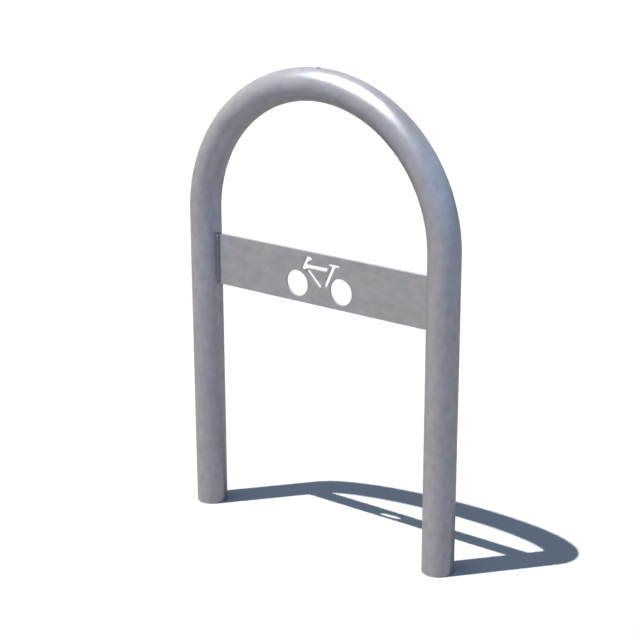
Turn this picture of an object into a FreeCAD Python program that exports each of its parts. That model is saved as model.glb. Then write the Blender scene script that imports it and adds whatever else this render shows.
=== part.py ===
import FreeCAD, Part
import math
import os

import Sketcher
from FreeCAD import Placement, Rotation, Vector

# Hoop bike rack, cast into the ground: a bent steel tube with a flat plate between its legs, and a bicycle
# cut through the plate. Millimetres. X runs along the hoop, Y across it, Z up. The origin is on the ground
# line, midway between the legs.

SIZES = {
    # bent tube
    "tube_dia": 60.0,
    "tube_wall": 3.0,
    "leg_spacing": 540.0,
    "hoop_height": 900.0,
    "root_depth": 300.0,
    "vent_dia": 8.0,
    # plate between the legs
    "plate_drop": 40.0,
    "plate_height": 100.0,
    "plate_thick": 5.0,
    "plate_edge_round": 0.8,
    "plate_fit_gap": 0.3,
    # fillet welds along the plate's ends
    "weld_leg": 4.0,
    "weld_face_radius": 6.0,
    "weld_inset": 3.0,
    # anchor rods through the buried roots
    "rod_dia": 12.0,
    "rod_overhang": 60.0,
    "rod_rise": 50.0,
    "rod_hole_clearance": 0.5,
    "rod_weld_leg": 4.0,
    "rod_weld_flare": 6.0,
    "rod_weld_lip": 0.5,
    # bicycle sign: heights count from the axle line, and places along X from the plate's middle
    "sign_margin": 9.85,
    "wheel_dia": 50.0,
    "wheel_spacing": 100.0,
    "stroke": 8.0,
    "bridge": 5.0,
    "fork_bridge": 6.0,
    "web": 3.0,
    "lean_angle": 65.0,
    "slope_angle": 45.0,
    "fork_foot_height": 29.7,
    "fork_foot_width": 4.4,
    "fork_arc_radius": 24.0,
    "top_tube_height": 32.5,
    "bar_height": 55.3,
    "bar_nose_radius": 5.0,
    "bar_tip_height": 51.3,
    "bar_tip_reach": 15.0,
    "bar_root_height": 46.7,
    "down_tube_reach": 19.1,
    "seat_foot_height": 1.5,
    "saddle_height": 44.3,
    "saddle_thick": 5.0,
    "saddle_front": 20.4,
    "saddle_back": 48.1,
}

doc = FreeCAD.newDocument("hoop_bike_rack")
sheet = doc.addObject("Spreadsheet::Sheet", "sizes")
for row, (name, value) in enumerate(SIZES.items(), start=1):
    sheet.set(f"A{row}", name)
    sheet.set(f"B{row}", str(value))
    sheet.setAlias(f"B{row}", name)
doc.recompute()

HALF_TUBE = "sizes.tube_dia / 2"
HALF_SPACING = "sizes.leg_spacing / 2"
SPRING_LINE = f"sizes.hoop_height - {HALF_TUBE} - {HALF_SPACING}"
PLATE_BASE = f"{SPRING_LINE} - sizes.plate_drop - sizes.plate_height"
ROD_HEIGHT = "sizes.rod_rise - sizes.root_depth"
SIGN_SCALE = "(sizes.plate_height - 2 * sizes.sign_margin) / (sizes.bar_height + sizes.wheel_dia / 2)"
START, END, CENTRE = range(1, 4)
ORIGIN = (-1, START)


def new_body(label):
    return doc.addObject("PartDesign::Body", label)


def new_sketch(body, role, name):
    """A sketch on one of the body's own origin planes."""
    sketch = body.newObject("Sketcher::SketchObject", name)
    plane = next(feature for feature in body.Origin.OriginFeatures if feature.Role == role)
    sketch.AttachmentSupport = [(plane, "")]
    sketch.MapMode = "FlatFace"
    return sketch


def bind(target, expressions):
    for path, expression in expressions.items():
        target.setExpression(path, expression)


def relate(sketch, kind, *references):
    """Constraints go in as lists, so that nothing is solved before the sizes are bound."""
    return sketch.addConstraint([Sketcher.Constraint(kind, *references)])[0]


def dimension(sketch, kind, *references, size):
    """A sketch dimension that follows the expression given as size."""
    index = relate(sketch, kind, *references, 1.0)
    sketch.setExpression(f"Constraints[{index}]", size)


# bent tube


def hoop_tube():
    body = new_body("hoop_tube")
    half_spacing = SIZES["leg_spacing"] / 2
    root = -SIZES["root_depth"]
    spring_line = SIZES["hoop_height"] - SIZES["tube_dia"] / 2 - half_spacing

    path = new_sketch(body, "XZ_Plane", "tube_path")
    left_foot = Vector(-half_spacing, root, 0)
    left_top = Vector(-half_spacing, spring_line, 0)
    right_top = Vector(half_spacing, spring_line, 0)
    right_foot = Vector(half_spacing, root, 0)
    arch_circle = Part.Circle(Vector(0, spring_line, 0), Vector(0, 0, 1), half_spacing)
    left_leg = path.addGeometry(Part.LineSegment(left_foot, left_top))
    arch = path.addGeometry(Part.ArcOfCircle(arch_circle, 0, math.pi))
    right_leg = path.addGeometry(Part.LineSegment(right_top, right_foot))
    relate(path, "Vertical", left_leg)
    relate(path, "Vertical", right_leg)
    relate(path, "Tangent", left_leg, END, arch, END)
    relate(path, "Tangent", arch, START, right_leg, START)
    relate(path, "Vertical", arch, CENTRE, *ORIGIN)
    dimension(path, "Radius", arch, size=HALF_SPACING)
    dimension(path, "DistanceY", *ORIGIN, arch, CENTRE, size=SPRING_LINE)
    dimension(path, "DistanceY", left_leg, START, *ORIGIN, size="sizes.root_depth")
    dimension(path, "DistanceY", right_leg, END, *ORIGIN, size="sizes.root_depth")

    section = new_sketch(body, "XY_Plane", "tube_section")
    bind(section, {
        "AttachmentOffset.Base.x": f"-{HALF_SPACING}",
        "AttachmentOffset.Base.z": "-sizes.root_depth",
    })
    add_circle(section, SIZES["tube_dia"] / 2, HALF_TUBE)
    add_circle(section, SIZES["tube_dia"] / 2 - SIZES["tube_wall"], f"{HALF_TUBE} - sizes.tube_wall")

    tube = body.newObject("PartDesign::AdditivePipe", "bent_tube")
    tube.Profile = section
    tube.Spine = (path, ["Edge1", "Edge2", "Edge3"])

    vent = new_sketch(body, "XY_Plane", "vent_outline")
    bind(vent, {"AttachmentOffset.Base.z": "sizes.hoop_height"})
    add_circle(vent, SIZES["vent_dia"] / 2, "sizes.vent_dia / 2")
    vent_hole = body.newObject("PartDesign::Pocket", "vent_hole")
    vent_hole.Profile = vent
    bind(vent_hole, {"Length": "2 * sizes.tube_wall"})

    rod_holes = new_sketch(body, "XZ_Plane", "rod_hole_outlines")
    hole_radius = (SIZES["rod_dia"] + SIZES["rod_hole_clearance"]) / 2
    for side in (-1, 1):
        centre = Vector(side * half_spacing, root + SIZES["rod_rise"], 0)
        hole = rod_holes.addGeometry(Part.Circle(centre, Vector(0, 0, 1), hole_radius))
        dimension(rod_holes, "Radius", hole, size="(sizes.rod_dia + sizes.rod_hole_clearance) / 2")
        dimension(rod_holes, "DistanceX", *ORIGIN, hole, CENTRE, size=f"{side} * {HALF_SPACING}")
        dimension(rod_holes, "DistanceY", *ORIGIN, hole, CENTRE, size=ROD_HEIGHT)
    drilling = body.newObject("PartDesign::Pocket", "rod_holes")
    drilling.Profile = rod_holes
    drilling.SideType = "Symmetric"
    bind(drilling, {"Length": "2 * sizes.tube_dia"})
    return body


def add_circle(sketch, radius, size):
    """A circle about the sketch's origin."""
    circle = sketch.addGeometry(Part.Circle(Vector(0, 0, 0), Vector(0, 0, 1), radius))
    relate(sketch, "Coincident", circle, CENTRE, *ORIGIN)
    dimension(sketch, "Radius", circle, size=size)


# plate with the bicycle cut through it


def cross_plate():
    body = new_body("cross_plate")
    bind(body, {"Placement.Base.z": PLATE_BASE})

    blank = new_sketch(body, "XZ_Plane", "plate_outline")
    half_length = (SIZES["leg_spacing"] - SIZES["tube_dia"]) / 2 - SIZES["plate_fit_gap"]
    corners = [Vector(-half_length, 0, 0), Vector(half_length, 0, 0),
               Vector(half_length, SIZES["plate_height"], 0), Vector(-half_length, SIZES["plate_height"], 0)]
    lower, right, upper, left = add_loop(blank, corners)
    relate(blank, "Horizontal", lower)
    relate(blank, "Horizontal", upper)
    relate(blank, "Vertical", left)
    relate(blank, "Symmetric", lower, START, lower, END, *ORIGIN)
    dimension(blank, "DistanceX", lower, START, lower, END,
              size="sizes.leg_spacing - sizes.tube_dia - 2 * sizes.plate_fit_gap")
    dimension(blank, "DistanceY", right, START, right, END, size="sizes.plate_height")
    relate(blank, "Vertical", right)
    plate = body.newObject("PartDesign::Pad", "flat_plate")
    plate.Profile = blank
    plate.SideType = "Symmetric"
    bind(plate, {"Length": "sizes.plate_thick"})
    doc.recompute()

    long_edges = [f"Edge{number}" for number, edge in enumerate(plate.Shape.Edges, start=1)
                  if edge.Length > SIZES["plate_height"] + SIZES["plate_thick"]]
    rounding = body.newObject("PartDesign::Fillet", "edge_rounding")
    rounding.Base = (plate, long_edges)
    bind(rounding, {"Radius": "sizes.plate_edge_round"})

    sign = bicycle_sketch(body)
    cut = body.newObject("PartDesign::Pocket", "bicycle_cut")
    cut.Profile = sign
    cut.SideType = "Symmetric"
    bind(cut, {"Length": "2 * sizes.plate_thick"})
    return body


def add_loop(sketch, corners):
    """Lines through the corners and back to the first, joined end to end."""
    lines = [sketch.addGeometry(Part.LineSegment(corner, following))
             for corner, following in zip(corners, corners[1:] + corners[:1])]
    for line, following in zip(lines, lines[1:] + lines[:1]):
        relate(sketch, "Coincident", line, END, following, START)
    return lines


def bicycle_sketch(body):
    """The stencil: two wheels, fork with top tube and handlebar, down tube, seat tube with saddle."""
    sketch = new_sketch(body, "XZ_Plane", "bicycle_outline")
    bind(sketch, {"AttachmentOffset.Base.y": f"sizes.sign_margin + {scaled('sizes.wheel_dia / 2')}"})
    front_wheel, rear_wheel = wheel_outlines(sketch)
    seat_front, seat_back = seat_tube_outline(sketch)
    dimension(sketch, "Distance", rear_wheel, CENTRE, seat_back,
              size=scaled("(sizes.wheel_dia / 2 + sizes.bridge)"))
    underside = fork_outline(sketch, front_wheel, seat_front)
    down_tube_outline(sketch, seat_front, underside)
    return sketch


def scaled(size):
    """A size of the sign, which is drawn to fill the plate between its margins."""
    return f"{size} * {SIGN_SCALE}"


def sign_scale():
    drawn_height = SIZES["bar_height"] + SIZES["wheel_dia"] / 2
    return (SIZES["plate_height"] - 2 * SIZES["sign_margin"]) / drawn_height


def sign_point(reach, height):
    return Vector(reach, height, 0) * sign_scale()


def along(point, angle, distance):
    """The point at a distance, on the sign's own scale, in the direction of an angle in degrees."""
    direction = Vector(math.cos(math.radians(angle)), math.sin(math.radians(angle)), 0)
    return point + direction * distance * sign_scale()


def wheel_outlines(sketch):
    wheels = []
    for side in (-1, 1):
        centre = sign_point(side * SIZES["wheel_spacing"] / 2, 0)
        circle = Part.Circle(centre, Vector(0, 0, 1), SIZES["wheel_dia"] / 2 * sign_scale())
        wheel = sketch.addGeometry(circle)
        dimension(sketch, "Diameter", wheel, size=scaled("sizes.wheel_dia"))
        dimension(sketch, "DistanceX", *ORIGIN, wheel, CENTRE, size=scaled(f"{side} * sizes.wheel_spacing / 2"))
        relate(sketch, "Horizontal", wheel, CENTRE, *ORIGIN)
        wheels.append(wheel)
    return wheels


def seat_line_reach(height):
    """Where the seat tube's rear edge is at a height: a bridge away from the rear wheel."""
    lean = math.radians(SIZES["lean_angle"])
    clearance = (SIZES["wheel_dia"] / 2 + SIZES["bridge"]) / math.sin(lean)
    return SIZES["wheel_spacing"] / 2 - clearance + height / math.tan(lean)


def seat_tube_outline(sketch):
    """Leaning seat tube with a round-ended saddle on top, as one slot."""
    lean = SIZES["lean_angle"]
    width = SIZES["stroke"] / math.sin(math.radians(lean))
    saddle_low = SIZES["saddle_height"]
    saddle_high = saddle_low + SIZES["saddle_thick"]
    end_radius = SIZES["saddle_thick"] / 2
    back_foot = sign_point(seat_line_reach(SIZES["seat_foot_height"]), SIZES["seat_foot_height"])
    front_foot = along(back_foot, lean + 90, SIZES["stroke"])
    back_top = sign_point(seat_line_reach(saddle_low), saddle_low)
    front_top = sign_point(seat_line_reach(saddle_low) - width, saddle_low)
    rear_end = SIZES["saddle_back"] - end_radius
    front_end = SIZES["saddle_front"] + end_radius

    foot = add_line(sketch, front_foot, back_foot)
    back = add_line(sketch, back_foot, back_top)
    low_rear = add_line(sketch, back_top, sign_point(rear_end, saddle_low))
    rear_round = add_arc(sketch, sign_point(rear_end, saddle_low + end_radius), end_radius, -90, 90)
    top = add_line(sketch, sign_point(rear_end, saddle_high), sign_point(front_end, saddle_high))
    front_round = add_arc(sketch, sign_point(front_end, saddle_low + end_radius), end_radius, 90, 270)
    low_front = add_line(sketch, sign_point(front_end, saddle_low), front_top)
    front = add_line(sketch, front_top, front_foot)

    join(sketch, foot, back, low_rear)
    join(sketch, low_front, front, foot)
    for line, arc in ((low_rear, rear_round), (top, front_round)):
        relate(sketch, "Tangent", line, END, arc, START)
    for arc, line in ((rear_round, top), (front_round, low_front)):
        relate(sketch, "Tangent", arc, END, line, START)
    for line in (low_rear, top, low_front):
        relate(sketch, "Horizontal", line)
    relate(sketch, "Perpendicular", foot, back)
    relate(sketch, "Parallel", front, back)
    relate(sketch, "Horizontal", back, END, front, START)
    dimension(sketch, "Angle", back, size="sizes.lean_angle * 1deg")
    dimension(sketch, "Distance", foot, START, back, size=scaled("sizes.stroke"))
    dimension(sketch, "DistanceY", *ORIGIN, back, START, size=scaled("sizes.seat_foot_height"))
    dimension(sketch, "DistanceY", *ORIGIN, back, END, size=scaled("sizes.saddle_height"))
    dimension(sketch, "DistanceY", back, END, top, START, size=scaled("sizes.saddle_thick"))
    dimension(sketch, "DistanceX", *ORIGIN, rear_round, CENTRE,
              size=scaled("(sizes.saddle_back - sizes.saddle_thick / 2)"))
    dimension(sketch, "DistanceX", *ORIGIN, front_round, CENTRE,
              size=scaled("(sizes.saddle_front + sizes.saddle_thick / 2)"))
    return front, back


def fork_outline(sketch, front_wheel, seat_front):
    """Fork, handlebar and top tube as one slot, with bridges of plate to the front wheel and the seat tube."""
    lean = SIZES["lean_angle"]
    slant = 1 / math.tan(math.radians(lean))
    width = SIZES["stroke"] / math.sin(math.radians(lean))
    low = SIZES["top_tube_height"]
    high = low + SIZES["stroke"]
    foot_radius = SIZES["wheel_dia"] / 2 + SIZES["fork_bridge"]
    inner_height = SIZES["fork_foot_height"] - SIZES["fork_foot_width"] * math.cos(math.radians(lean))
    inner_reach = math.sqrt(foot_radius ** 2 - inner_height ** 2) - SIZES["wheel_spacing"] / 2
    inner_foot = sign_point(inner_reach, inner_height)
    outer_foot = along(inner_foot, lean + 90, SIZES["fork_foot_width"])
    outer_reach = inner_reach - SIZES["fork_foot_width"] * math.sin(math.radians(lean))

    def outer_edge(height):
        return outer_reach + (height - SIZES["fork_foot_height"]) * slant

    nose = SIZES["bar_nose_radius"]
    nose_height = SIZES["bar_height"] - nose
    nose_half = math.asin((SIZES["bar_tip_height"] - nose_height) / nose)
    nose_reach = -SIZES["bar_tip_reach"] - nose * math.cos(nose_half)
    arc_radius = SIZES["fork_arc_radius"]
    arc_turn = math.acos((inner_height - (low - arc_radius)) / arc_radius)
    arc_reach = inner_reach + arc_radius * math.sin(arc_turn)
    end_reach = seat_line_reach(high) - width - SIZES["bridge"] / math.sin(math.radians(lean))
    tip = sign_point(-SIZES["bar_tip_reach"], SIZES["bar_tip_height"])
    bar_root = sign_point(outer_edge(SIZES["bar_root_height"]) + width, SIZES["bar_root_height"])
    corner = sign_point(outer_edge(high) + width, high)
    top_end = sign_point(end_reach, high)
    low_end = sign_point(end_reach - SIZES["stroke"] * slant, low)

    outer = add_line(sketch, outer_foot, sign_point(outer_edge(SIZES["bar_height"]), SIZES["bar_height"]))
    bar_top = add_line(sketch, sign_point(outer_edge(SIZES["bar_height"]), SIZES["bar_height"]),
                       sign_point(nose_reach, SIZES["bar_height"]))
    bar_nose = add_arc(sketch, sign_point(nose_reach, nose_height), nose, math.degrees(nose_half), 90)
    bar_low = add_line(sketch, tip, bar_root)
    inner = add_line(sketch, bar_root, corner)
    tube_top = add_line(sketch, corner, top_end)
    tube_end = add_line(sketch, top_end, low_end)
    tube_low = add_line(sketch, low_end, sign_point(arc_reach, low))
    crotch = add_arc(sketch, sign_point(arc_reach, low - arc_radius), arc_radius, 90,
                     90 + math.degrees(arc_turn))
    foot = add_line(sketch, inner_foot, outer_foot)

    join(sketch, outer, bar_top)
    join(sketch, bar_low, inner, tube_top, tube_end, tube_low)
    join(sketch, crotch, foot, outer)
    relate(sketch, "Tangent", bar_top, END, bar_nose, END)
    relate(sketch, "Coincident", bar_nose, START, bar_low, START)
    relate(sketch, "Tangent", tube_low, END, crotch, START)
    for line in (bar_top, tube_top, tube_low):
        relate(sketch, "Horizontal", line)
    relate(sketch, "Parallel", inner, outer)
    relate(sketch, "Parallel", tube_end, outer)
    relate(sketch, "Perpendicular", foot, outer)
    dimension(sketch, "Angle", outer, size="sizes.lean_angle * 1deg")
    dimension(sketch, "Distance", inner, END, outer, size=scaled("sizes.stroke"))
    dimension(sketch, "DistanceY", tube_end, END, tube_end, START, size=scaled("sizes.stroke"))
    dimension(sketch, "DistanceY", *ORIGIN, tube_end, END, size=scaled("sizes.top_tube_height"))
    dimension(sketch, "Distance", tube_end, START, seat_front, size=scaled("sizes.bridge"))
    dimension(sketch, "DistanceY", *ORIGIN, outer, START, size=scaled("sizes.fork_foot_height"))
    dimension(sketch, "DistanceY", *ORIGIN, outer, END, size=scaled("sizes.bar_height"))
    dimension(sketch, "Distance", foot, START, foot, END, size=scaled("sizes.fork_foot_width"))
    dimension(sketch, "Distance", foot, START, front_wheel, CENTRE,
              size=scaled("(sizes.wheel_dia / 2 + sizes.fork_bridge)"))
    dimension(sketch, "Radius", crotch, size=scaled("sizes.fork_arc_radius"))
    dimension(sketch, "Radius", bar_nose, size=scaled("sizes.bar_nose_radius"))
    dimension(sketch, "DistanceX", bar_low, START, *ORIGIN, size=scaled("sizes.bar_tip_reach"))
    dimension(sketch, "DistanceY", *ORIGIN, bar_low, START, size=scaled("sizes.bar_tip_height"))
    dimension(sketch, "DistanceY", *ORIGIN, bar_low, END, size=scaled("sizes.bar_root_height"))
    return tube_low


def down_tube_outline(sketch, seat_front, underside):
    """Down tube: a sloping slot, cut level under the top tube and square at its lower end."""
    slope = SIZES["slope_angle"]
    height = SIZES["top_tube_height"] - SIZES["web"]
    upper_corner = sign_point(-SIZES["down_tube_reach"], height)
    lean = math.radians(SIZES["lean_angle"])
    seat_reach = seat_line_reach(height) - (SIZES["stroke"] + SIZES["web"]) / math.sin(lean)
    run = (seat_reach + SIZES["down_tube_reach"]) * math.sin(lean) / math.sin(lean + math.radians(slope))
    lower_corner = along(upper_corner, -slope, run)
    lower_inner = along(lower_corner, -slope - 90, SIZES["stroke"])
    level_width = SIZES["stroke"] / math.sin(math.radians(slope))
    upper_inner = sign_point(-SIZES["down_tube_reach"] - level_width, height)

    level_end, upper_edge, square_end, lower_edge = add_loop(
        sketch, [upper_inner, upper_corner, lower_corner, lower_inner])
    relate(sketch, "Horizontal", level_end)
    relate(sketch, "Parallel", upper_edge, lower_edge)
    relate(sketch, "Perpendicular", square_end, upper_edge)
    dimension(sketch, "Angle", upper_edge, size="-sizes.slope_angle * 1deg")
    dimension(sketch, "Distance", square_end, END, upper_edge, size=scaled("sizes.stroke"))
    dimension(sketch, "DistanceY", level_end, END, underside, START, size=scaled("sizes.web"))
    dimension(sketch, "DistanceX", level_end, END, *ORIGIN, size=scaled("sizes.down_tube_reach"))
    dimension(sketch, "Distance", square_end, START, seat_front, size=scaled("sizes.web"))


def add_line(sketch, start, end):
    return sketch.addGeometry(Part.LineSegment(start, end))


def add_arc(sketch, centre, radius, first, last):
    """An arc of the sign's scale between two angles in degrees, anticlockwise."""
    circle = Part.Circle(centre, Vector(0, 0, 1), radius * sign_scale())
    return sketch.addGeometry(Part.ArcOfCircle(circle, math.radians(first), math.radians(last)))


def join(sketch, *curves):
    for curve, following in zip(curves, curves[1:]):
        relate(sketch, "Coincident", curve, END, following, START)


# fillet welds between the plate's ends and the legs


def plate_weld(label, turn):
    """A weld in the left front corner, turned about the plate's centre into its own corner."""
    body = new_body(label)
    body.Placement = Placement(Vector(0, 0, 0), turn)
    bind(body, {"Placement.Base.z": f"{PLATE_BASE} + sizes.plate_height / 2"})
    leg_x = -SIZES["leg_spacing"] / 2
    radius = SIZES["tube_dia"] / 2
    face = -SIZES["plate_thick"] / 2
    toe = face - SIZES["weld_leg"]
    root_point = Vector(leg_x + math.sqrt(radius ** 2 - face ** 2), face, 0)
    plate_toe = root_point + Vector(SIZES["weld_leg"], 0, 0)
    tube_toe = Vector(leg_x + math.sqrt(radius ** 2 - toe ** 2), toe, 0)

    section = new_sketch(body, "XY_Plane", "weld_section")
    on_plate = add_line(section, root_point, plate_toe)
    chord = tube_toe - plate_toe
    outward = Vector(-chord.y, chord.x, 0).normalize()
    rise = math.sqrt(SIZES["weld_face_radius"] ** 2 - (chord.Length / 2) ** 2)
    face_centre = plate_toe + chord * 0.5 - outward * rise
    face_arc = section.addGeometry(arc_between(face_centre, tube_toe, plate_toe))
    tube_arc = section.addGeometry(arc_between(Vector(leg_x, 0, 0), tube_toe, root_point))
    relate(section, "Coincident", on_plate, END, face_arc, END)
    relate(section, "Coincident", face_arc, START, tube_arc, START)
    relate(section, "Coincident", tube_arc, END, on_plate, START)
    relate(section, "Horizontal", on_plate)
    relate(section, "Horizontal", tube_arc, CENTRE, *ORIGIN)
    dimension(section, "DistanceX", tube_arc, CENTRE, *ORIGIN, size=HALF_SPACING)
    dimension(section, "Radius", tube_arc, size=HALF_TUBE)
    dimension(section, "DistanceY", on_plate, START, *ORIGIN, size="sizes.plate_thick / 2")
    dimension(section, "DistanceX", on_plate, START, on_plate, END, size="sizes.weld_leg")
    dimension(section, "DistanceY", tube_arc, START, tube_arc, END, size="sizes.weld_leg")
    dimension(section, "Radius", face_arc, size="sizes.weld_face_radius")

    bead = body.newObject("PartDesign::Pad", "weld_bead")
    bead.Profile = section
    bead.SideType = "Symmetric"
    bind(bead, {"Length": "sizes.plate_height - 2 * sizes.weld_inset"})
    return body


def arc_between(centre, start, end):
    """The arc about a centre, anticlockwise from start to end."""
    spoke = start - centre
    first = math.atan2(spoke.y, spoke.x)
    last = math.atan2(end.y - centre.y, end.x - centre.x)
    circle = Part.Circle(centre, Vector(0, 0, 1), spoke.Length)
    return Part.ArcOfCircle(circle, first, last)


# anchor rods and their welds


def anchor_rod(label, side):
    rod = doc.addObject("Part::Cylinder", label)
    rod.Placement = Placement(Vector(0, 0, 0), Rotation(Vector(1, 0, 0), -90))
    bind(rod, {
        "Radius": "sizes.rod_dia / 2",
        "Height": "sizes.tube_dia + 2 * sizes.rod_overhang",
        "Placement.Base.x": f"{side} * {HALF_SPACING}",
        "Placement.Base.y": f"-{HALF_TUBE} - sizes.rod_overhang",
        "Placement.Base.z": ROD_HEIGHT,
    })
    return rod


def rod_weld(label, side, face, rod):
    """A cone of weld round the rod, cut back to the leg's outside and to the rod."""
    cone = doc.addObject("Part::Cone", f"{label}_cone")
    cone.Placement = Placement(Vector(0, 0, 0), Rotation(Vector(1, 0, 0), -90 * face))
    bind(cone, {
        "Radius1": "sizes.rod_dia / 2 + sizes.rod_weld_flare",
        "Radius2": "sizes.rod_dia / 2 + sizes.rod_weld_lip",
        "Height": "2 * sizes.rod_weld_leg",
        "Placement.Base.x": f"{side} * {HALF_SPACING}",
        "Placement.Base.y": f"{face} * ({HALF_TUBE} - sizes.rod_weld_leg)",
        "Placement.Base.z": ROD_HEIGHT,
    })
    leg = doc.addObject("Part::Cylinder", f"{label}_leg")
    bind(leg, {
        "Radius": HALF_TUBE,
        "Height": "2 * sizes.rod_rise",
        "Placement.Base.x": f"{side} * {HALF_SPACING}",
        "Placement.Base.z": "-sizes.root_depth",
    })
    collar = doc.addObject("Part::Cut", f"{label}_collar")
    collar.Base = cone
    collar.Tool = leg
    weld = doc.addObject("Part::Cut", label)
    weld.Base = collar
    weld.Tool = rod
    return weld


NO_TURN = Rotation()
HALF_TURN_ABOUT_X = Rotation(Vector(1, 0, 0), 180)
HALF_TURN_ABOUT_Y = Rotation(Vector(0, 1, 0), 180)
HALF_TURN_ABOUT_Z = Rotation(Vector(0, 0, 1), 180)

subparts = [
    hoop_tube(),
    cross_plate(),
    plate_weld("plate_weld_left_front", NO_TURN),
    plate_weld("plate_weld_left_rear", HALF_TURN_ABOUT_X),
    plate_weld("plate_weld_right_front", HALF_TURN_ABOUT_Y),
    plate_weld("plate_weld_right_rear", HALF_TURN_ABOUT_Z),
]
for side_name, side in (("left", -1), ("right", 1)):
    rod = anchor_rod(f"anchor_rod_{side_name}", side)
    subparts.append(rod)
    for face_name, face in (("front", -1), ("rear", 1)):
        subparts.append(rod_weld(f"rod_weld_{side_name}_{face_name}", side, face, rod))
doc.recompute()

failed = [thing.Label for thing in doc.Objects if "Invalid" in thing.State or "Error" in thing.State]
for subpart in subparts:
    if subpart.Shape.isNull() or not subpart.Shape.isValid():
        failed.append(subpart.Label)
if failed:
    raise RuntimeError(f"these did not build: {failed}")

os.makedirs("parts", exist_ok=True)
for subpart in subparts:
    subpart.Shape.exportStep(f"parts/{subpart.Label}.step")
    box = subpart.Shape.optimalBoundingBox(True, False)
    print(f"{subpart.Label}: {len(subpart.Shape.Solids)} solid, {subpart.Shape.Volume:.1f} mm3, "
          f"X {box.XMin:.2f} to {box.XMax:.2f}, Y {box.YMin:.2f} to {box.YMax:.2f}, "
          f"Z {box.ZMin:.2f} to {box.ZMax:.2f}")
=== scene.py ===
import math

import bmesh
import bpy
from mathutils import Matrix, Vector


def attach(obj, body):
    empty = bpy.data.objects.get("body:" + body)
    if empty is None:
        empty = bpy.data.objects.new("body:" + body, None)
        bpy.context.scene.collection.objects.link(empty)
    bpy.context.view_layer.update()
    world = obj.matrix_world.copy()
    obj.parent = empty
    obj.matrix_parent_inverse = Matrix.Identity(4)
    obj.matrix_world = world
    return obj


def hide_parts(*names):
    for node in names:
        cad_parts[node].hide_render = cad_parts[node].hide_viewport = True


# Hoop bike rack of hot-dip galvanised steel on a plain pale studio floor. Metres, in the frame of the packed
# model: X runs along the hoop, Y across it, Z up, with the origin on the ground line between the legs.

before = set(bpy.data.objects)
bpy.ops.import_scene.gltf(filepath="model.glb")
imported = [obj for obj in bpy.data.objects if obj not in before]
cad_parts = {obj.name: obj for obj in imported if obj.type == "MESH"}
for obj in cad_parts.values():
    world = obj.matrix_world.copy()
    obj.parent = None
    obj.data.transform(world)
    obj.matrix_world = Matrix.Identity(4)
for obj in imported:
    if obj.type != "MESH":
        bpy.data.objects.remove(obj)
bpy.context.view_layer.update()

# the rack's own sizes
TUBE_RADIUS = 0.03
LEG_REACH = 0.27
SPRING_LINE = 0.6
HALF_RUN = SPRING_LINE + LEG_REACH * math.pi / 2
PLATE_FACE = 0.0025
PLATE_BOTTOM = 0.46
PLATE_TOP = 0.56
ROD_RADIUS = 0.006
ROD_HEIGHT = -0.25
ROD_WELD_FOOT = 0.012
ROD_WELD_LIP = 0.0065
VENT_RADIUS = 0.004

# weld beads
WELD_LEG = 0.004
WELD_INSET = 0.003
WELD_ROUNDING = 0.003
WELD_BULGE = 0.0008
ROOT_DEPTH = 0.0003
RIPPLE_PITCH = 0.0026
RIPPLE_HEIGHT = 0.0003
RIPPLE_LAG = 0.5
STATIONS_PER_RIPPLE = 6
FACE_STEPS = 8
RING_RIPPLES = 20
TOE_ROUNDS = 12

# camera, at the photograph's angle
PICTURE_WIDTH = 639
FOCAL_PIXELS = 1675.7
SENSOR_WIDTH = 36.0
CAMERA_TURN = 0.6414
CAMERA_TILT = 0.3188
CAMERA_ROLL = -0.0024
CAMERA_DISTANCE = 3.0960
CAMERA_TARGET = Vector((0.0004, 0, 0.4387))
CAMERA_REACH = 200

# key light
KEY_TRAVEL = Vector((0.2394, 0.2854, -1.0))
KEY_STRENGTH = 3.27
KEY_ANGLE = math.radians(0.53)

# bluish fills
FILL_TILT = math.radians(10)
FILL_ANGLE = math.radians(90)
COOL_TURN = math.radians(45)
COOL_STRENGTH = 0.75
COOL_COLOUR = (0.0, 0.16, 1.0)
SIDE_TURN = math.radians(115)
SIDE_STRENGTH = 0.13
SIDE_COLOUR = (0.30, 0.55, 1.0)
BACK_TURN = math.radians(215)
BACK_STRENGTH = 0.30
BACK_COLOUR = (0.35, 0.55, 1.0)

# reflectors for the long highlight on the arch: its bright part, and the tail that runs down to the right
GLINT_TURN = math.radians(-34)
GLINT_TILT = math.radians(69)
GLINT_STRENGTH = 7.6
GLINT_COLOUR = (0.94, 0.96, 1.0)
GLINT_ANGLE = math.radians(51)
TAIL_TURN = math.radians(14)
TAIL_TILT = math.radians(49)
TAIL_STRENGTH = 0.28
TAIL_COLOUR = (1.0, 0.95, 0.90)
TAIL_ANGLE = math.radians(18)

# backdrop and floor
SKY_COLOUR = (0.096, 0.115, 0.099)
BACKDROP_WHITE = (1.0, 1.0, 1.0)
FLOOR_WHITE = (0.95, 0.95, 0.95)
FLOOR_BOUNCE = (0.224, 0.200, 0.173)
FLOOR_HALF = 30.0

# zinc coating: its colours and its sheen, and the colours of its painted light and shade
WARM_ZINC = (0.550, 0.522, 0.485)
COOL_ZINC = (0.515, 0.515, 0.532)
# painted sky blue: a painted reflection of the sky on the arch's shoulder, and painted bluish shade on the
# plate beside the left leg
PAINTED_SKY_BLUE = (0.445, 0.553, 0.645)
# painted bluish sky light on each leg's shaded right flank
FLANK_PAINTED_SKYLIGHT = (0.530, 0.560, 0.670)
GREEN_CAST = (0.968, 1.015, 0.981)
MAUVE_CAST = (1.026, 0.981, 1.026)
METAL_RIM = (0.75, 0.75, 0.75)
METAL_SHARE = 0.22
ROUGHNESS = 0.30
# the welds' zinc is darkened as painted shade of the crevices where they sit
WELD_CREVICE_SHADE = 0.64

# zinc coating: how far its patterns are drawn out along each piece
TUBE_STRETCH = 1.7
PLATE_STRETCH = 2.0
WELD_STRETCH = 1.0
ROD_STRETCH = 3.0

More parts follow.
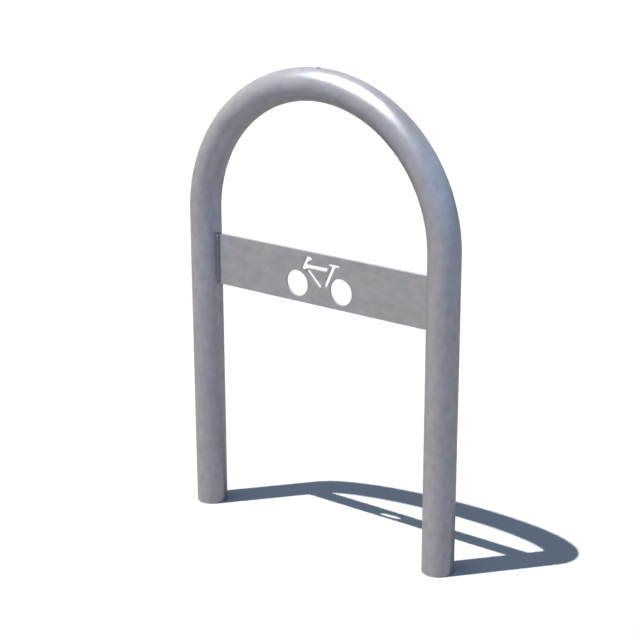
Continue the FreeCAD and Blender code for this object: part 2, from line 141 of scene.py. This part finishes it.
# zinc coating: the size of each pattern, and how much it changes the lightness, the sheen and the bump
CLOUD_SIZE = 0.013
CLOUD_DETAIL = 3.0
CLOUD_ROUGHNESS = 0.6
CLOUD_STRENGTH = 0.50
CLOUD_GLOSS = 0.06
PATCH_SIZE = 0.045
PATCH_STRENGTH = 0.10
CRYSTAL_SIZE = 0.007
CRYSTAL_STRENGTH = 0.03
CRYSTAL_DULLNESS = 0.02
CRYSTAL_HEIGHT = 0.4
GRAIN_SIZE = 0.0016
GRAIN_STRENGTH = 0.10
GRAIN_DULLNESS = 0.04
GRAIN_HEIGHT = 0.00004
WAVE_SIZE = 0.012
WAVE_HEIGHT = 3.0

# zinc coating: the share of cool grey, and the green and mauve casts
TONE_SIZE = 0.025
TONE_DISTORTION = 0.4
COOL_SHARE = 0.25
COOL_BY_TONE = 1.6
# the arch grows cooler with height as a painted bluish reflection of the sky above it
SKY_BLUE_BY_HEIGHT = 0.65
HUE_SIZE = 0.013
HUE_STRENGTH = 2.6

# painted light and shade on the zinc: run is measured along the tube from its left foot
SHOULDER_RUN = 1.33
SHOULDER_REACH = 0.09
SHOULDER_WIDTH = 0.022
SHOULDER_OFFSET = -0.003
SHOULDER_SHARE = 0.9
# painted shade past the crown, on the arch's outside and front, that holds back the highlight's halo
HALO_SHADE_RUN = 1.225
HALO_SHADE_REACH = 0.13
HALO_SHADE_WIDTH = 0.024
HALO_SHADE_OFFSET = -0.010
HALO_SHADE_SHARE = 0.18
# painted bluish sky light on each leg's shaded right flank
FLANK_HEIGHT = 0.57
FLANK_REACH = 0.07
FLANK_SHARE = 0.40
# painted bluish shade on the plate's left end, beside the leg
END_REACH = 0.018
END_SHARE = 0.28
# painted shade on the vent hole's wall
VENT_MARGIN = 1.1
VENT_SHADE = 0.08

# contact shade, where each leg meets its own shadow
CONTACT_SHARE = 0.25
CONTACT_LENGTH = 0.042
CONTACT_WIDTH = 0.026
CONTACT_HEIGHT = 0.015


class Value:
    """One changing value of a shader: an output socket whose arithmetic adds Math nodes."""

    def __init__(self, shader, socket):
        self.shader = shader
        self.socket = socket

    def maths(self, operation, *values):
        return self.shader.node("ShaderNodeMath", {"operation": operation}, dict(enumerate(values)))

    def __add__(self, other):
        return self.maths("ADD", self, other)

    def __radd__(self, other):
        return self.maths("ADD", other, self)

    def __sub__(self, other):
        return self.maths("SUBTRACT", self, other)

    def __rsub__(self, other):
        return self.maths("SUBTRACT", other, self)

    def __mul__(self, other):
        return self.maths("MULTIPLY", self, other)

    def __rmul__(self, other):
        return self.maths("MULTIPLY", other, self)

    def __truediv__(self, other):
        return self.maths("DIVIDE", self, other)

    def __rtruediv__(self, other):
        return self.maths("DIVIDE", other, self)

    def __pow__(self, other):
        return self.maths("POWER", self, other)

    def __rpow__(self, other):
        return self.maths("POWER", other, self)

    def __lt__(self, other):
        return self.maths("LESS_THAN", self, other)

    def __gt__(self, other):
        return self.maths("GREATER_THAN", self, other)

    def __abs__(self):
        return self.maths("ABSOLUTE", self)

    def sign(self):
        return self.maths("SIGN", self)

    def exp(self):
        return self.maths("EXPONENT", self)

    def turn_from(self, base):
        """The angle whose tangent is this value over the base."""
        return self.maths("ARCTAN2", self, base)

    def at_least(self, low):
        return self.maths("MAXIMUM", self, low)

    def at_most(self, high):
        return self.maths("MINIMUM", self, high)


class Shader:
    """The node tree of a material or of the world."""

    def __init__(self, owner):
        owner.use_nodes = True
        self.tree = owner.node_tree
        self.tree.nodes.clear()

    def node(self, kind, settings=None, inputs=None, output=0):
        """Adds a node: its settings first, then its sockets' values or links. Gives one of its outputs."""
        made = self.tree.nodes.new(kind)
        for name, value in (settings or {}).items():
            setattr(made, name, value)
        for name, value in (inputs or {}).items():
            if isinstance(value, Value):
                self.tree.links.new(value.socket, made.inputs[name])
            else:
                made.inputs[name].default_value = value
        return Value(self, made.outputs[output]) if made.outputs else None

    def place(self):
        """The point's X, Y and Z in the rack's own frame."""
        place = self.node("ShaderNodeTexCoord", output="Object")
        return [self.node("ShaderNodeSeparateXYZ", inputs={0: place}, output=axis) for axis in "XYZ"]

    def vector(self, *parts):
        return self.node("ShaderNodeCombineXYZ", inputs=dict(enumerate(parts)))

    def noise(self, place, size, detail=2.0, roughness=0.5, distortion=0.0):
        """Soft noise about 0, from -0.5 to 0.5, with lumps about as large as size."""
        return self.node("ShaderNodeTexNoise", inputs={
            "Vector": place,
            "Scale": 1 / size,
            "Detail": detail,
            "Roughness": roughness,
            "Distortion": distortion,
        }) - 0.5

    def mix(self, share, first, second):
        """From the first colour to the second as the share goes from 0 to 1."""
        return self.node("ShaderNodeMix", {"data_type": "RGBA"}, {0: share, 6: first, 7: second}, output=2)

    def scale(self, colour, factor):
        return self.node("ShaderNodeVectorMath", {"operation": "SCALE"}, {0: colour, "Scale": factor})

    def tint(self, colour, cast):
        return self.node("ShaderNodeVectorMath", {"operation": "MULTIPLY"}, {0: colour, 1: cast})

    def diffuse(self, colour):
        return self.node("ShaderNodeBsdfDiffuse", inputs={"Color": (*colour, 1)})

    def blend(self, share, first, second):
        """From the first surface to the second as the share goes from 0 to 1."""
        return self.node("ShaderNodeMixShader", inputs={0: share, 1: first, 2: second})


# places on the pieces


def place_along_hoop(shader):
    """Along the tube from the left foot to the right one, out from its middle, and across the hoop."""
    x, y, z = shader.place()
    rise = (z - SPRING_LINE).at_least(0.0)
    bend = (x * x + rise * rise) ** 0.5
    turn = rise.turn_from(abs(x))
    below_crown = HALF_RUN - (z.at_most(SPRING_LINE) + turn * LEG_REACH)
    run = HALF_RUN + below_crown * x.sign()
    return run, bend - LEG_REACH, y


def place_along_plate(shader):
    x, y, z = shader.place()
    return x, z, y


def place_along_rod(shader):
    x, y, z = shader.place()
    return y, x, z


# painted light and shade on the zinc


def soft_spot(*distances):
    """1 in the middle of a spot, falling softly to 0. Each distance is a share of its reach that way."""
    return (-1.0 * sum(distance * distance for distance in distances)).exp()


def shoulder_sky_reflection(run, across, through):
    """A painted bluish reflection of the sky on the outside of the arch, above the right leg."""
    return SHOULDER_SHARE * soft_spot((run - SHOULDER_RUN) / SHOULDER_REACH,
                                      (TUBE_RADIUS - across) / SHOULDER_WIDTH,
                                      (through - SHOULDER_OFFSET) / SHOULDER_WIDTH)


def painted_halo_shade(run, across, through):
    """1 everywhere but past the crown, where painted shade on the arch's outside and front holds back the
    highlight's halo.
    """
    return 1.0 - HALO_SHADE_SHARE * soft_spot((run - HALO_SHADE_RUN) / HALO_SHADE_REACH,
                                        (TUBE_RADIUS - across) / HALO_SHADE_WIDTH,
                                        (through - HALO_SHADE_OFFSET) / HALO_SHADE_WIDTH)


def flank_skylight(shader):
    """Painted bluish sky light high on each leg's right flank, the side in shade from the key light."""
    x, y, z = shader.place()
    out = (abs(x) - LEG_REACH) * x.sign() / TUBE_RADIUS
    return FLANK_SHARE * out.at_least(0.0) * soft_spot((z - FLANK_HEIGHT) / FLANK_REACH)


def left_end_shade(run):
    """Painted bluish shade on the plate's left end, beside the leg that shades it."""
    return END_SHARE * (-1.0 * (run + LEG_REACH - TUBE_RADIUS) / END_REACH).exp()


def vent_shade(shader):
    """1 everywhere but on the vent hole's wall in the crown, which is darkened as painted shade."""
    x, y, z = shader.place()
    in_hole = x * x + y * y < (VENT_MARGIN * VENT_RADIUS) ** 2
    in_crown = z > SPRING_LINE + LEG_REACH
    return 1.0 - (1.0 - VENT_SHADE) * in_hole * in_crown


def contact_shade(shader):
    """1 everywhere but low on each leg's side away from the key light and on the floor there."""
    x, y, z = shader.place()
    away = KEY_TRAVEL.xy.normalized()
    from_leg = (abs(x) - LEG_REACH) * x.sign()
    along = from_leg * away.x + y * away.y - TUBE_RADIUS
    beside = from_leg * away.y - y * away.x
    return 1.0 - CONTACT_SHARE * soft_spot(along / CONTACT_LENGTH, beside / CONTACT_WIDTH, z / CONTACT_HEIGHT)


# painted light and shade on the tube: a sky reflection and sky light on the flanks, and shade past the crown,
# in the vent hole and at the feet
def tube_painted_light(shader, colour, light, run, across, through):
    colour = shader.mix(shoulder_sky_reflection(run, across, through), colour, (*PAINTED_SKY_BLUE, 1))
    colour = shader.mix(flank_skylight(shader), colour, (*FLANK_PAINTED_SKYLIGHT, 1))
    return colour, light * painted_halo_shade(run, across, through) * vent_shade(shader) * contact_shade(shader)


# painted bluish shade on the plate beside the left leg
def plate_painted_shade(shader, colour, light, run, across, through):
    return shader.mix(left_end_shade(run), colour, (*PAINTED_SKY_BLUE, 1)), light


# zinc


def crystals(shader, place):
    """The zinc's faint crystals: one level each, from -0.5 to 0.5."""
    cells = shader.node("ShaderNodeTexVoronoi", {"feature": "F1"}, {
        "Vector": place,
        "Scale": 1 / CRYSTAL_SIZE,
    }, output="Color")
    return shader.node("ShaderNodeSeparateColor", inputs={0: cells}) - 0.5


def zinc_colour(shader, drawn_out, even):
    """Warm and cool grey in soft clouds, cooler up the arch as a painted reflection of a blue sky, with a
    faint cast of green or mauve.
    """
    x, y, z = shader.place()
    up_arch = ((z - SPRING_LINE) / LEG_REACH).at_least(0.0)
    tone = shader.noise(drawn_out, TONE_SIZE, detail=1.0, distortion=TONE_DISTORTION)
    cool = (COOL_SHARE + COOL_BY_TONE * tone + SKY_BLUE_BY_HEIGHT * up_arch).at_least(0.0).at_most(1.0)
    grey = shader.mix(cool, (*WARM_ZINC, 1), (*COOL_ZINC, 1))
    mauve = (0.5 + HUE_STRENGTH * shader.noise(even, HUE_SIZE)).at_least(0.0).at_most(1.0)
    return shader.tint(grey, shader.mix(mauve, (*GREEN_CAST, 1), (*MAUVE_CAST, 1)))


def galvanised(name, place_along, stretch, lightness=1.0, painted_light=None):
    """Dull zinc: clouds of warm and cool grey drawn out along the piece, faint crystals and a fine grain."""
    material = bpy.data.materials.new(name)
    shader = Shader(material)
    run, across, through = place_along(shader)
    drawn_out = shader.vector(run / stretch, across, through)
    even = shader.vector(run, across, through)
    cloud = shader.noise(drawn_out, CLOUD_SIZE, CLOUD_DETAIL, CLOUD_ROUGHNESS)
    patch = shader.noise(drawn_out, PATCH_SIZE, detail=1.0)
    grain = shader.noise(even, GRAIN_SIZE)
    wave = shader.noise(even, WAVE_SIZE, detail=1.0)
    crystal = crystals(shader, even)
    light = lightness * (1.0 + CLOUD_STRENGTH * cloud + PATCH_STRENGTH * patch
                         + CRYSTAL_STRENGTH * crystal + GRAIN_STRENGTH * grain)
    colour = zinc_colour(shader, drawn_out, even)
    # painted light and shade on the piece
    if painted_light:
        colour, light = painted_light(shader, colour, light, run, across, through)
    bump = grain + CRYSTAL_HEIGHT * crystal + WAVE_HEIGHT * wave
    surface = shader.node("ShaderNodeBsdfPrincipled", inputs={
        "Base Color": shader.scale(colour, light),
        "Metallic": METAL_SHARE,
        "Specular IOR Level": 0.0,
        "Specular Tint": (*METAL_RIM, 1),
        "Roughness": ROUGHNESS - CLOUD_GLOSS * cloud + CRYSTAL_DULLNESS * crystal + GRAIN_DULLNESS * grain,
        "Normal": shader.node("ShaderNodeBump", inputs={"Distance": GRAIN_HEIGHT, "Height": bump}),
    })
    shader.node("ShaderNodeOutputMaterial", inputs={"Surface": surface})
    return material


# weld beads


def add_mesh(name, points, faces, material):
    mesh = bpy.data.meshes.new(name)
    mesh.from_pydata(points, [], faces)
    turned = bmesh.new()
    turned.from_mesh(mesh)
    bmesh.ops.recalc_face_normals(turned, faces=turned.faces)
    turned.to_mesh(mesh)
    turned.free()
    mesh.polygons.foreach_set("use_smooth", [True] * len(mesh.polygons))
    mesh.materials.append(material)
    mesh.update()
    piece = bpy.data.objects.new(name, mesh)
    bpy.context.collection.objects.link(piece)
    return piece


def weld_bead(node, stations, ring):
    """A rippled bead in place of a weld node. Each station gives its place in ripples along the bead, its
    size from 0 to 1, and three points: the root in the corner and the two toes of the bead's face."""
    points = []
    for ripples, size, root, first_toe, last_toe in stations:
        outward = ((first_toe + last_toe) / 2 - root).normalized()
        for step in range(FACE_STEPS + 1):
            share = step / FACE_STEPS
            crown = 4 * share * (1 - share)
            wave = abs(math.sin(math.pi * (ripples + RIPPLE_LAG * crown))) - 0.5
            face = first_toe.lerp(last_toe, share) + outward * crown * (WELD_BULGE + RIPPLE_HEIGHT * wave)
            points.append(root.lerp(face, size))
        points.append(root)
    row = FACE_STEPS + 2
    faces = []
    for station in range(len(stations) if ring else len(stations) - 1):
        here, there = station * row, (station + 1) % len(stations) * row
        for corner in range(row):
            beside = (corner + 1) % row
            faces.append((here + corner, here + beside, there + beside, there + corner))
    if not ring:
        faces += [range(row), range(len(points) - row, len(points))]
    bead = add_mesh(f"{node}_bead", points, faces, weld_zinc)
    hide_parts(node)
    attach(bead, "root")


def inside_of_leg(away):
    """The leg's inner side, from the rack's middle, at a distance to the front or rear of the leg's axis."""
    return LEG_REACH - math.sqrt((TUBE_RADIUS - ROOT_DEPTH) ** 2 - away ** 2)


def plate_weld(node, side, face):
    bottom, top = PLATE_BOTTOM + WELD_INSET, PLATE_TOP - WELD_INSET
    count = round((top - bottom) / RIPPLE_PITCH * STATIONS_PER_RIPPLE)
    in_plate, tube_toe = PLATE_FACE - ROOT_DEPTH, PLATE_FACE + WELD_LEG
    section = ((inside_of_leg(in_plate), in_plate),
               (inside_of_leg(PLATE_FACE) - WELD_LEG, in_plate),
               (inside_of_leg(tube_toe), tube_toe))
    stations = []
    for station in range(count + 1):
        height = bottom + (top - bottom) * station / count
        cut = max(0.0, 1 - min(height - bottom, top - height) / WELD_ROUNDING)
        corners = [Vector((side * x, face * y, height)) for x, y in section]
        stations.append((station / STATIONS_PER_RIPPLE, math.sqrt(1 - cut ** 2), *corners))
    weld_bead(node, stations, ring=False)


def rod_weld_toe(turn):
    """How far from the rod's axis the weld's cone meets the leg, at a turn about the rod."""
    slope = (ROD_WELD_FOOT - ROD_WELD_LIP) / (2 * WELD_LEG)
    radius = ROD_WELD_LIP
    for _ in range(TOE_ROUNDS):
        away = math.sqrt(TUBE_RADIUS ** 2 - (radius * math.cos(turn)) ** 2)
        radius = ROD_WELD_LIP + slope * (TUBE_RADIUS + WELD_LEG - away)
    return radius


def rod_weld(node, side, face):
    count = RING_RIPPLES * STATIONS_PER_RIPPLE
    in_rod, in_leg = ROD_RADIUS - ROOT_DEPTH, TUBE_RADIUS - ROOT_DEPTH
    stations = []
    for station in range(count):
        turn = 2 * math.pi * station / count
        beside, above = math.cos(turn), math.sin(turn)
        section = [(radius, math.sqrt(in_leg ** 2 - (radius * beside) ** 2))
                   for radius in (in_rod, rod_weld_toe(turn))]
        section.append((in_rod, TUBE_RADIUS + WELD_LEG))
        corners = [Vector((side * LEG_REACH + radius * beside, face * away, ROD_HEIGHT + radius * above))
                   for radius, away in section]
        stations.append((station / STATIONS_PER_RIPPLE, 1.0, *corners))
    weld_bead(node, stations, ring=True)


# studio


def seen_directly(shader):
    """1 for what the camera sees, also in metal, and 0 for what only lights the rack and the floor."""
    rays = [shader.node("ShaderNodeLightPath", output=f"Is {kind} Ray")
            for kind in ("Camera", "Glossy", "Transmission")]
    bounces = shader.node("ShaderNodeLightPath", output="Diffuse Depth")
    return sum(rays).at_most(1.0) * (bounces < 1.0)


def studio_world():
    world = bpy.data.worlds.new("studio")
    bpy.context.scene.world = world
    shader = Shader(world)
    sky = shader.node("ShaderNodeBackground", inputs={"Color": (*SKY_COLOUR, 1)})
    white = shader.node("ShaderNodeBackground", inputs={"Color": (*BACKDROP_WHITE, 1)})
    surface = shader.blend(seen_directly(shader), sky, white)
    shader.node("ShaderNodeOutputWorld", inputs={"Surface": surface})


def studio_floor():
    material = bpy.data.materials.new("studio_floor")
    shader = Shader(material)
    black = shader.diffuse((0, 0, 0))
    white = shader.blend(contact_shade(shader), black, shader.diffuse(FLOOR_WHITE))
    surface = shader.blend(seen_directly(shader), shader.diffuse(FLOOR_BOUNCE), white)
    shader.node("ShaderNodeOutputMaterial", inputs={"Surface": surface})
    corners = [(x * FLOOR_HALF, y * FLOOR_HALF, 0) for x, y in ((-1, -1), (1, -1), (1, 1), (-1, 1))]
    add_mesh("studio_floor", corners, [(0, 1, 2, 3)], material)


def direction(turn, tilt):
    """Towards something at a turn from the front, anticlockwise from above, and a tilt above the floor."""
    return Vector((math.sin(turn) * math.cos(tilt), -math.cos(turn) * math.cos(tilt), math.sin(tilt)))


def far_light(name, travel, strength, angle, colour=(1, 1, 1)):
    light = bpy.data.lights.new(name, "SUN")
    light.energy = strength
    light.angle = angle
    light.color = colour
    lamp = bpy.data.objects.new(name, light)
    lamp.rotation_euler = travel.to_track_quat("-Z", "Y").to_euler()
    bpy.context.collection.objects.link(lamp)
    return lamp


def reflector(name, turn, tilt, strength, angle, colour):
    """A far light that shows in the zinc's gloss alone."""
    far_light(name, -direction(turn, tilt), strength, angle, colour).visible_diffuse = False


def studio_lights():
    far_light("key_light", KEY_TRAVEL, KEY_STRENGTH, KEY_ANGLE)
    far_light("cool_fill", -direction(COOL_TURN, FILL_TILT), COOL_STRENGTH, FILL_ANGLE, COOL_COLOUR)
    far_light("side_fill", -direction(SIDE_TURN, FILL_TILT), SIDE_STRENGTH, FILL_ANGLE, SIDE_COLOUR)
    far_light("back_fill", -direction(BACK_TURN, FILL_TILT), BACK_STRENGTH, FILL_ANGLE, BACK_COLOUR)
    reflector("soft_reflector", GLINT_TURN, GLINT_TILT, GLINT_STRENGTH, GLINT_ANGLE, GLINT_COLOUR)
    reflector("low_reflector", TAIL_TURN, TAIL_TILT, TAIL_STRENGTH, TAIL_ANGLE, TAIL_COLOUR)


def camera():
    lens = bpy.data.cameras.new("camera")
    lens.sensor_width = SENSOR_WIDTH
    lens.lens = SENSOR_WIDTH * FOCAL_PIXELS / PICTURE_WIDTH
    lens.clip_end = CAMERA_REACH
    seen = bpy.data.objects.new("camera", lens)
    back = direction(CAMERA_TURN, CAMERA_TILT)
    right = Vector((0, 0, 1)).cross(back).normalized()
    turn = Matrix((right, back.cross(right), back)).transposed() @ Matrix.Rotation(CAMERA_ROLL, 3, "Z")
    seen.matrix_world = Matrix.Translation(CAMERA_TARGET + back * CAMERA_DISTANCE) @ turn.to_4x4()
    bpy.context.collection.objects.link(seen)
    bpy.context.scene.camera = seen


tube_zinc = galvanised("galvanised_tube", place_along_hoop, TUBE_STRETCH, painted_light=tube_painted_light)
plate_zinc = galvanised("galvanised_plate", place_along_plate, PLATE_STRETCH, painted_light=plate_painted_shade)
# weld zinc darkened as painted crevice shade
weld_zinc = galvanised("galvanised_weld", place_along_plate, WELD_STRETCH, lightness=WELD_CREVICE_SHADE)
rod_zinc = galvanised("galvanised_rod", place_along_rod, ROD_STRETCH)
for name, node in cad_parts.items():
    node.data.materials.clear()
    if name == "hoop_tube":
        node.data.materials.append(tube_zinc)
    elif name == "cross_plate":
        node.data.materials.append(plate_zinc)
    elif name.startswith("anchor_rod"):
        node.data.materials.append(rod_zinc)
    else:
        node.data.materials.append(weld_zinc)

for side_name, side in (("left", -1), ("right", 1)):
    for face_name, face in (("front", -1), ("rear", 1)):
        plate_weld(f"plate_weld_{side_name}_{face_name}", side, face)
        rod_weld(f"rod_weld_{side_name}_{face_name}", side, face)

studio_world()
studio_floor()
studio_lights()
camera()
bpy.context.scene.view_settings.view_transform = "Standard"
